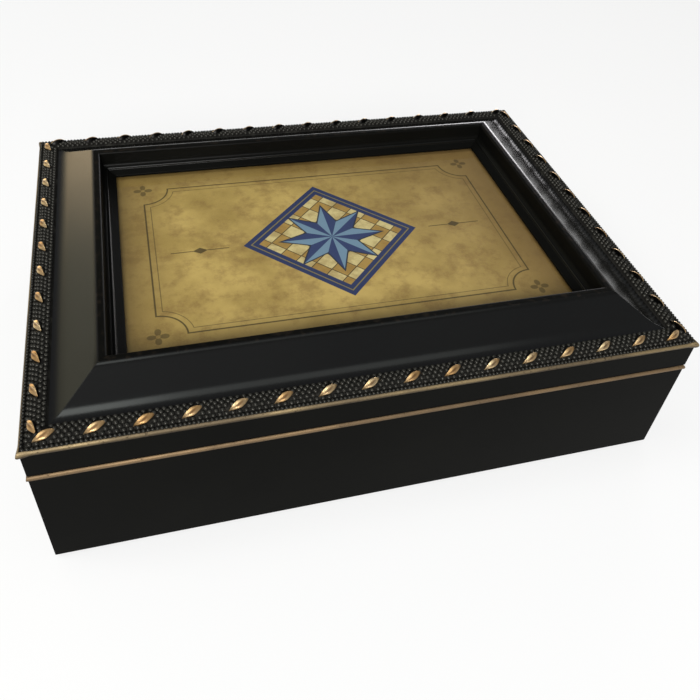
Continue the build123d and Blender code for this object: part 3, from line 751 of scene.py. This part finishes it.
FLOAT, WHOLE, STUFF = "NodeSocketFloat", "NodeSocketInt", "NodeSocketMaterial"
CROWN_CENTRE = (4.756, 49.61)
CROWN_RADIUS = 3.94
PEARL_ROWS, PEARL_RADIUS, PEARL_PITCH = 5, 0.76, 1.8
FIRST_ROW, ROW_STEP = radians(-47.0), radians(16.5)
EDGE_RADIUS, EDGE_PITCH, EDGE_INWARD, EDGE_HEIGHT, EDGE_GRID_WIDTH = 0.52, 1.2, 0.6, 52.25, 1.0
MITRE_ROOM = 0.3
LEAF_LENGTH, LEAF_WIDTH, LEAF_PITCH, FIRST_LEAF = 6.6, 2.25, 12.6, 6.3
LEAF_SLANT, LEAF_LEAN = radians(23.5), radians(20.0)
MASK_LENGTH, MASK_WIDTH = 0.47, 0.56
print("crown of the band:", CROWN_RADIUS, "mm radius")


# %% The tree that sows the pearls
def pearl_sizes(half):
    """Named inputs of the pearl tree for a side of this half length."""
    return {
        "Half Length": (FLOAT, half),
        "Pitch": (FLOAT, PEARL_PITCH * MM),
        "Along": (WHOLE, int(2 * half / (PEARL_PITCH * MM)) + 2),
        "Rows": (WHOLE, PEARL_ROWS),
        "First Angle": (FLOAT, FIRST_ROW),
        "Angle Step": (FLOAT, ROW_STEP),
        "Pearl Radius": (FLOAT, PEARL_RADIUS * MM),
        "Edge Pitch": (FLOAT, EDGE_PITCH * MM),
        "Edge Along": (WHOLE, int(2 * half / (EDGE_PITCH * MM)) + 2),
        "Edge Radius": (FLOAT, EDGE_RADIUS * MM),
        "First Leaf": (FLOAT, FIRST_LEAF * MM - half),
        "Leaf Pitch": (FLOAT, LEAF_PITCH * MM),
        "Leaf Length": (FLOAT, LEAF_LENGTH * MM),
        "Leaf Width": (FLOAT, LEAF_WIDTH * MM),
        "Finish": (STUFF, finishes["pearl_lacquer"]),
    }


def sow(points, drop, spot, radius):
    """Pearls on the points of a flat mesh that aren't dropped, each at its spot."""
    choice = {"Geometry": points, "Selection": drop}
    kept = points.node("GeometryNodeDeleteGeometry", {"domain": "POINT"}, choice)
    moved = points.node("GeometryNodeSetPosition", {}, {"Geometry": kept, "Position": spot})
    ball = points.node("GeometryNodeMeshUVSphere", {}, {"Segments": 10, "Rings": 6, "Radius": radius})
    smooth = points.node("GeometryNodeSetShadeSmooth", {}, {"Geometry": ball})
    return points.node("GeometryNodeInstanceOnPoints", {}, {"Points": moved, "Instance": smooth})


pearl_tree, size = start_tree("pearls on a crowned band", pearl_sizes(HALF_LENGTH))
start = size["Pitch"]
where = start.node("GeometryNodeInputPosition")
flat_x = where.axis("X")
flat_y = where.axis("Y")
field = start.node(
    "GeometryNodeMeshGrid",
    {},
    {
        "Size X": (size["Along"] - 1) * size["Pitch"],
        "Size Y": size["Rows"] - 1,
        "Vertices X": size["Along"],
        "Vertices Y": size["Rows"],
    },
)
row_number = start.maths("ROUND", flat_y + (size["Rows"] - 1) / 2)
along = flat_x + (start.maths("MODULO", row_number, 2.0) - 0.5) * size["Pitch"] * 0.5
bend = size["First Angle"] + row_number * size["Angle Step"]
inward = CROWN_CENTRE[0] * MM + start.maths("SINE", bend) * (CROWN_RADIUS * MM)
high = CROWN_CENTRE[1] * MM + start.maths("COSINE", bend) * (CROWN_RADIUS * MM)
past_first = along - size["First Leaf"] + size["Leaf Pitch"] / 2
to_leaf = start.maths("FLOORED_MODULO", past_first, size["Leaf Pitch"]) - size["Leaf Pitch"] / 2
aside = (bend + LEAF_LEAN) * (CROWN_RADIUS * MM)
down_leaf = to_leaf * cos(LEAF_SLANT) + aside * sin(LEAF_SLANT)
down_leaf = down_leaf / (size["Leaf Length"] * MASK_LENGTH)
over_leaf = aside * cos(LEAF_SLANT) - to_leaf * sin(LEAF_SLANT)
over_leaf = over_leaf / (size["Leaf Width"] * MASK_WIDTH)
covered = start.maths("LESS_THAN", down_leaf * down_leaf + over_leaf * over_leaf, 1.0)
beyond = start.maths("GREATER_THAN", abs(along), size["Half Length"] - inward - MITRE_ROOM * MM)
spot = start.node("ShaderNodeCombineXYZ", {}, {"X": along, "Y": inward, "Z": high})
lattice = sow(field, start.maths("MAXIMUM", covered, beyond), spot, size["Pearl Radius"])

edge_line = start.node(
    "GeometryNodeMeshGrid",
    {},
    {
        "Size X": (size["Edge Along"] - 1) * size["Edge Pitch"],
        "Size Y": EDGE_GRID_WIDTH * MM,
        "Vertices X": size["Edge Along"],
        "Vertices Y": 2,
    },
)
edge_end = size["Half Length"] - EDGE_INWARD * MM - MITRE_ROOM * MM
edge_drop = start.maths("GREATER_THAN", abs(flat_x), edge_end)
edge_drop = start.maths("MAXIMUM", edge_drop, start.maths("GREATER_THAN", flat_y, 0.0))
edge_place = {"X": flat_x, "Y": EDGE_INWARD * MM, "Z": EDGE_HEIGHT * MM}
edge_spot = start.node("ShaderNodeCombineXYZ", {}, edge_place)
edge_row = sow(edge_line, edge_drop, edge_spot, size["Edge Radius"])

sown = start.node("GeometryNodeJoinGeometry")
for part in (size["Geometry"], lattice, edge_row):
    pearl_tree.links.new(part.socket, sown.socket.node.inputs[0])
solid = start.node("GeometryNodeRealizeInstances", {}, {"Geometry": sown})
close_tree(
    pearl_tree, start.node("GeometryNodeSetMaterial", {}, {"Geometry": solid, "Material": size["Finish"]})
)
print("pearl tree:", len(pearl_tree.nodes), "nodes")

# %% Pearled bands
band_section = (
    [(0.3, 51.62), (0.3, 52.1), (1.0, 52.14), (1.35, 51.72)]
    + arc_points(CROWN_CENTRE, CROWN_RADIUS, -57, 42, 24)
    + [(7.2, 52.5), (1.3, 51.3)]
)
BAND_ARRIS = 0.05 * MM
band = {0.0: in_metres(band_section)}
for side in SIDES:
    strip = plain_mesh(f"band_strip_{side.name}", strip_shape(side.half, band), BAND_ARRIS)
    ground = strip.attributes.new("ground", "FLOAT", "POINT")
    ground.data.foreach_set("value", [1.0] * len(strip.vertices))
    mesh = grown_mesh(f"pearled_band_{side.name}", strip, pearl_tree, pearl_sizes(side.half))
    mesh.transform(side.place)
    node = f"ornament_band_{side.name}"
    add_piece(f"pearled_band_{side.name}", mesh, "pearl_lacquer", node, "lid")
    print("band", side.name, len(mesh.polygons), "faces")

# %% [markdown]
# The leaves are slim and pointed at both ends, with a bent midrib. The side towards the picture is
# flat and bright, and ends in a narrow bare strip and a steep drop; the side towards the edge slopes,
# with a groove under the midrib. One leaf is shaped as a small grid, with its groove, a light painted
# shade over its sloping side and its bare sides, which also stand for a painted shade round the leaf,
# kept as attributes for the gilding, and Geometry Nodes sets it along each side at an even pitch.

# %% One carved leaf
LEAF_HEIGHT, LEAF_LIFT, LEAF_ROOT, GROOVE_DEPTH = 1.8, 0.16, 0.55, 0.22
LEAF_SINK, LEAF_END_ROOM = 0.35, 5.1


def carved_leaf():
    """A leaf lying along X, with its broad side up and its root just below nought."""
    shape = bmesh.new()
    hollow_and_shade = shape.verts.layers.float.new("hollow_and_shade")
    bare = shape.verts.layers.float.new("bare")
    steps, ribs = 16, 14
    rows = []
    for step in range(steps + 1):
        s = -1 + 2 * step / steps
        width = LEAF_WIDTH * 0.5 * (1 - abs(s) ** 1.55) ** 1.05
        midrib = width * 0.16 + 0.15 * LEAF_WIDTH * sin(pi * s * 0.9) * (1 - s * s) ** 0.5
        crown = LEAF_HEIGHT * (1 - abs(s) ** 2.2) ** 0.75
        row = []
        for rib in range(ribs + 1):
            t = -1 + 2 * rib / ribs
            dip, glaze_and_shade = 0.0, 0.0
            if t >= 0:
                y = midrib + (width - midrib) * t
                z = crown * (1 - 0.09 * t * t)
            else:
                y = midrib + (width + midrib) * t
                dip = max(0.0, 1 - ((s + 0.05) / 0.62) ** 2) * sin(pi * min(1.0, -t * 1.5)) ** 0.9
                z = crown * (1 + 0.5 * t) - GROOVE_DEPTH * dip
                # The whole sloping side gets a little of the glaze colour, a painted shade; the groove gets
                # much more, the glaze that stays in it.
                glaze_and_shade = 0.08 + 0.76 * dip
            vert = shape.verts.new((s * LEAF_LENGTH / 2 * MM, y * MM, (z + LEAF_LIFT) * MM))
            vert[hollow_and_shade] = glaze_and_shade
            vert[bare] = 1.0 if t > 0.8 else 0.0
            row.append(vert)
        rows.append(row)
    for near, far in zip(rows, rows[1:]):
        for rib in range(ribs):
            shape.faces.new((near[rib], far[rib], far[rib + 1], near[rib + 1]))
    outline = [edge for edge in shape.edges if edge.is_boundary]
    skirt = bmesh.ops.extrude_edge_only(shape, edges=outline)
    foot = [item for item in skirt["geom"] if isinstance(item, bmesh.types.BMVert)]
    # The steep sides are black: left bare, and also a painted shade round the leaf.
    for vert in foot:
        vert.co.z = -LEAF_ROOT * MM
        vert[bare] = 1.0
    bmesh.ops.remove_doubles(shape, verts=shape.verts, dist=0.002 * MM)
    bmesh.ops.holes_fill(shape, edges=[edge for edge in shape.edges if edge.is_boundary])
    bmesh.ops.recalc_face_normals(shape, faces=shape.faces)
    return shape


leaf_mesh = bpy.data.meshes.new("carved_leaf")
leaf_shape = carved_leaf()
leaf_shape.to_mesh(leaf_mesh)
leaf_shape.free()
print("one leaf has", len(leaf_mesh.polygons), "faces")


# %% The tree that sets the leaves, and the leaves on each side
def leaf_sizes(half):
    """Named inputs of the leaf tree for a side of this half length."""
    reach = CROWN_RADIUS - LEAF_SINK
    count = int((2 * half / MM - FIRST_LEAF - LEAF_END_ROOM) / LEAF_PITCH) + 1
    first = (
        FIRST_LEAF * MM - half,
        (CROWN_CENTRE[0] - reach * sin(LEAF_LEAN)) * MM,
        (CROWN_CENTRE[1] + reach * cos(LEAF_LEAN)) * MM,
    )
    return {
        "Count": (WHOLE, count),
        "First": ("NodeSocketVector", first),
        "Step": ("NodeSocketVector", (LEAF_PITCH * MM, 0.0, 0.0)),
        "Lean": ("NodeSocketVector", (LEAF_LEAN, 0.0, 0.0)),
        "Slant": ("NodeSocketVector", (0.0, 0.0, LEAF_SLANT)),
        "Finish": (STUFF, finishes["old_gilt"]),
    }


leaf_tree, size = start_tree("leaves along a band", leaf_sizes(HALF_LENGTH))
start = size["Count"]
line = start.node(
    "GeometryNodeMeshLine",
    {},
    {"Count": size["Count"], "Start Location": size["First"], "Offset": size["Step"]},
)
turned = start.node("GeometryNodeTransform", {}, {"Geometry": size["Geometry"], "Rotation": size["Slant"]})
leaned = start.node("GeometryNodeTransform", {}, {"Geometry": turned, "Rotation": size["Lean"]})
leaves = start.node("GeometryNodeInstanceOnPoints", {}, {"Points": line, "Instance": leaned})
solid = start.node("GeometryNodeRealizeInstances", {}, {"Geometry": leaves})
smooth = start.node("GeometryNodeSetShadeSmooth", {}, {"Geometry": solid})
close_tree(
    leaf_tree, start.node("GeometryNodeSetMaterial", {}, {"Geometry": smooth, "Material": size["Finish"]})
)


def cut_at_mitres(mesh, half):
    """Cut off what runs past the mitres at both ends of a side, and close the cuts."""
    shape = bmesh.new()
    shape.from_mesh(mesh)
    for end in (-1, 1):
        parts = list(shape.verts) + list(shape.edges) + list(shape.faces)
        cut = bmesh.ops.bisect_plane(
            shape, geom=parts, dist=1e-7, plane_co=(end * half, 0, 0), plane_no=(end, 1, 0), clear_outer=True
        )
        rims = [item for item in cut["geom_cut"] if isinstance(item, bmesh.types.BMEdge)]
        if rims:
            bmesh.ops.holes_fill(shape, edges=rims)
    shape.to_mesh(mesh)
    shape.free()


for side in SIDES:
    mesh = grown_mesh(f"gilded_leaves_{side.name}", leaf_mesh.copy(), leaf_tree, leaf_sizes(side.half))
    cut_at_mitres(mesh, side.half)
    mesh.transform(side.place)
    mesh.set_sharp_from_angle(angle=radians(48))
    add_piece(f"gilded_leaves_{side.name}", mesh, "old_gilt", f"gilt_leaves_{side.name}", "lid")
    print("leaves", side.name, len(mesh.polygons), "faces")

# %% [markdown]
# The case is lined with velvet over card, and so is the board that closes the lid from below. These
# boards have soft edges where the cloth is drawn round them, and the cloth isn't quite flat. Each is
# a slab with rounded corners, cut into a grid and moved by a smooth wave of about a tenth of a
# millimetre. The linings of the walls are mitred strips with a rounded top.

# %% Velvet boards
SLAB_GRID = 24
FLAT_RIM = 6 * MM


def soft_slab(name, low, high, corner, edge, wave):
    """A slab with rounded corners and edges, whose broad faces aren't quite flat."""
    shape = bmesh.new()
    bmesh.ops.create_cube(shape, size=1.0)
    for vert in shape.verts:
        vert.co = Vector([low[axis] if vert.co[axis] < 0 else high[axis] for axis in range(3)])
    thin = min(range(3), key=lambda axis: high[axis] - low[axis])
    upright = [e for e in shape.edges if abs((e.verts[0].co - e.verts[1].co)[thin]) > 1e-6]
    bmesh.ops.bevel(shape, geom=upright, offset=corner, segments=5, profile=0.5, affect="EDGES")
    rims = [e for e in shape.edges if e.calc_face_angle(0.0) > radians(60)]
    bmesh.ops.bevel(shape, geom=rims, offset=edge, segments=4, profile=0.5, affect="EDGES")
    wide = [axis for axis in range(3) if axis != thin]
    for axis in wide:
        span = high[axis] - low[axis]
        for number in range(1, SLAB_GRID):
            normal = Vector([1.0 if other == axis else 0.0 for other in range(3)])
            at = Vector(low) + normal * (span * number / SLAB_GRID)
            parts = list(shape.verts) + list(shape.edges) + list(shape.faces)
            bmesh.ops.bisect_plane(shape, geom=parts, dist=1e-7, plane_co=at, plane_no=normal)
    for vert in shape.verts:
        first, second = (vert.co[axis] / MM for axis in wide)
        ripple = sin(first * 0.21 + 0.7) * cos(second * 0.17) + 0.6 * sin(first * 0.11 - second * 0.13)
        inner = min(1.0, min(min(vert.co[a] - low[a], high[a] - vert.co[a]) for a in wide) / FLAT_RIM)
        vert.co[thin] -= abs(ripple) * wave * max(0.0, inner)
    return plain_mesh(name, shape)


for node, body, corner in (("floor_lining", "case", 1.0), ("lid_board", "lid", 1.2)):
    low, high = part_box(node)
    mesh = soft_slab(f"velvet_{node}", low, high, corner=corner * MM, edge=0.6 * MM, wave=0.1 * MM)
    add_piece(f"velvet_{node}", mesh, "lining_cloth", node, body)
    print(node, "has", len(mesh.polygons), "faces")

# %% Velvet on the walls
LINING_ARRIS = 0.1 * MM
FOOT_OUT, FOOT_IN, TOP_IN, TOP_OUT = (8.0, 4.0), (9.5, 4.0), (9.5, 40.4), (8.0, 40.4)
lining_section = [FOOT_OUT, FOOT_IN]
lining_section += rounded_corner(TOP_OUT, TOP_IN, FOOT_IN, 0.7, 6)[::-1]
lining_section += rounded_corner(TOP_IN, TOP_OUT, FOOT_OUT, 0.4, 4)
lining = {0.0: in_metres(lining_section)}
for side in SIDES:
    add_strip("velvet_wall", "wall_lining", side, lining, LINING_ARRIS, "lining_cloth", "case")

# %% [markdown]
# Under the case is a sheet of felt, cut with rounded corners and glued down flat, so that the box
# doesn't scratch a table.

# %% Felt
low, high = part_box("felt_base")
felt_sheet = add_piece(
    "felt_sheet",
    soft_slab("felt_sheet", low, high, corner=4.0 * MM, edge=0.25 * MM, wave=0.0),
    "felt",
    "felt_base",
    "case",
)
print("felt is", round((high.x - low.x) / MM, 1), "by", round((high.y - low.y) / MM, 1), "mm")

# %% [markdown]
# The rest of the CAD nodes already have their right shape: the glass and the card under it, the
# boards, the hinges with their pins and screws, and the nails and points inside. They stay, and only
# their finish is assigned.

# %% Finishes of the CAD nodes that stay
KEPT = {
    "glass": ["glass_pane"],
    "printed_paper": ["print_card"],
    "grey_card": ["backing_board"],
    "bare_board": ["case_floor"],
    "hinge_brass": [
        "hinge_left_case_plate",
        "hinge_left_lid_plate",
        "hinge_right_case_plate",
        "hinge_right_lid_plate",
        "hinge_screws_case",
        "hinge_screws_lid",
    ],
    "steel": ["hinge_left_pin", "hinge_right_pin", "corner_brads", "v_nails", "framers_points"],
}
for finish, names in KEPT.items():
    for name in names:
        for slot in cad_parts[name].material_slots:
            slot.material = finishes[finish]
for block in case_blocks + lid_blocks:
    bpy.data.objects.remove(block)
print("kept CAD nodes:", sum(len(names) for names in KEPT.values()))

# %% [markdown]
# The box stands on a plain pale floor. For the camera and for mirrors the floor is mixed with white,
# so that it looks like paper and still keeps the shadow.

# %% Floor
WHITE_SHARE = 0.7
FLOOR_REACH = 6.0
floor_mesh = bpy.data.meshes.new("floor")
floor_shape = bmesh.new()
bmesh.ops.create_grid(floor_shape, x_segments=1, y_segments=1, size=FLOOR_REACH)
floor_shape.to_mesh(floor_mesh)
floor_shape.free()
floor = bpy.data.objects.new("floor", floor_mesh)
bpy.context.scene.collection.objects.link(floor)
shader, place = start_finish("pale_floor", Specular_IOR_Level=0.0)
wear(place, shader, place.noise(3.0, 2.0).tone(tint("f4f4f3"), tint("f8f8f7")), 0.9)
seen = place.node("ShaderNodeLightPath", output="Is Camera Ray")
for ray in ("Is Glossy Ray", "Is Transmission Ray"):
    seen = seen.maths("MAXIMUM", seen, place.node("ShaderNodeLightPath", output=ray))
white = place.node("ShaderNodeEmission", {}, {"Color": tint("ffffff"), "Strength": 1.0})
paper_white = {0: seen * WHITE_SHARE, 1: Wire(place.tree, shader.outputs[0]), 2: white}
place.feed(
    place.tree.nodes["Material Output"].inputs["Surface"],
    place.node("ShaderNodeMixShader", {}, paper_white),
)
floor_mesh.materials.append(finishes["pale_floor"])
print("floor reaches", FLOOR_REACH, "m each way")

# %% [markdown]
# Black lacquer shows little but what it mirrors, so the light is placed by its mirror images. A broad
# soft box stands high in front. Two hang overhead, a bright one to the left and a faint one to the
# right, for the streak in the cove, which fades along the front rail. A small one hangs at the left.
# The sky is plain and paler near the horizon. Two warm glows at the back left are for the slope of
# the left rail and a white one at the back right is for the right rail. The camera sees a white sky.


# %% Lamps
def soft_lamp(name, spot, target, size, power, colour):
    """A rectangular soft box that faces a target."""
    lamp = bpy.data.lights.new(name, "AREA")
    lamp.shape = "RECTANGLE"
    lamp.size, lamp.size_y = size
    lamp.energy = power
    lamp.color = colour
    holder = bpy.data.objects.new(name, lamp)
    holder.location = spot
    holder.rotation_mode = "QUATERNION"
    holder.rotation_quaternion = (Vector(target) - Vector(spot)).to_track_quat("-Z", "Y")
    bpy.context.scene.collection.objects.link(holder)


WARM, COOL, PLAIN = (1.0, 0.99, 0.97), (0.94, 1.0, 0.95), (1.0, 1.0, 0.98)
soft_lamp("front_lamp", (-0.38, -1.5, 1.05), (0.0, 0.0, 0.03), size=(1.2, 0.7), power=34.0, colour=WARM)
soft_lamp("high_lamp", (-0.32, -0.03, 1.2), (-0.32, -0.03, 0.0), size=(0.42, 0.44), power=1.82, colour=COOL)
soft_lamp("faint_lamp", (0.22, -0.03, 1.2), (0.22, -0.03, 0.0), size=(0.66, 0.44), power=0.66, colour=COOL)
soft_lamp("left_lamp", (-0.95, 0.1, 1.1), (0.0, 0.0, 0.05), size=(0.45, 0.45), power=3.6, colour=PLAIN)
print("lamps:", len(bpy.data.lights))

# %% Sky
world = bpy.data.worlds.new("plain_sky")
bpy.context.scene.world = world
world.use_nodes = True
sky = Wire(world.node_tree).node("ShaderNodeTexCoord", output="Generated")
climb = sky.axis("Z")
sky_colour = climb.above(0.3, 0.32).tone(tint("8f8f89"), tint("72747a"))
for direction, edge, soft, glow in (
    ((-0.70, 0.70, 0.15), 0.88, 0.06, (0.62, 0.60, 0.45, 1.0)),
    ((-0.37, 0.916, 0.156), 0.983, 0.0166, (3.0, 2.3, 1.4, 1.0)),
    ((0.528, 0.845, 0.09), 0.975, 0.022, (8.0, 7.8, 8.0, 1.0)),
):
    compared = {0: sky, 1: Vector(direction).normalized()}
    towards = sky.node("ShaderNodeVectorMath", {"operation": "DOT_PRODUCT"}, compared, output="Value")
    sky_colour = towards.above(edge, soft).tone(sky_colour, glow)
sky_colour = sky.node("ShaderNodeLightPath", output="Is Camera Ray").tone(sky_colour, tint("ffffff"))
sky.feed(world.node_tree.nodes["Background"].inputs["Color"], sky_colour)
world.node_tree.nodes["Background"].inputs["Strength"].default_value = 1.0
print("sky has", len(world.node_tree.nodes), "nodes")

# %% [markdown]
# The camera stands where the photograph's edges and corners say it stood: high in front, a little to
# the left, and rolled a few degrees. The shift keeps the box where it lies in the picture.

# %% Camera
scene = bpy.context.scene
scene.view_settings.view_transform = "Standard"
camera_data = bpy.data.cameras.new("camera")
camera_data.sensor_width = 36.0
camera_data.lens = 38.369
camera_data.shift_x = -0.0024
camera_data.shift_y = -0.1
camera_data.clip_start = 0.01
camera = bpy.data.objects.new("camera", camera_data)
camera.location = Vector((-60.28, -204.01, 215.74)) * MM
aim = Vector((0.385, -25.44, 51.0)) * MM
camera.rotation_mode = "QUATERNION"
CAMERA_ROLL = radians(5.593)
track = (aim - camera.location).to_track_quat("-Z", "Y")
camera.rotation_quaternion = track @ Quaternion((0, 0, 1), CAMERA_ROLL)
scene.collection.objects.link(camera)
scene.camera = camera
print("camera is", round((aim - camera.location).length / MM), "mm from its aim")
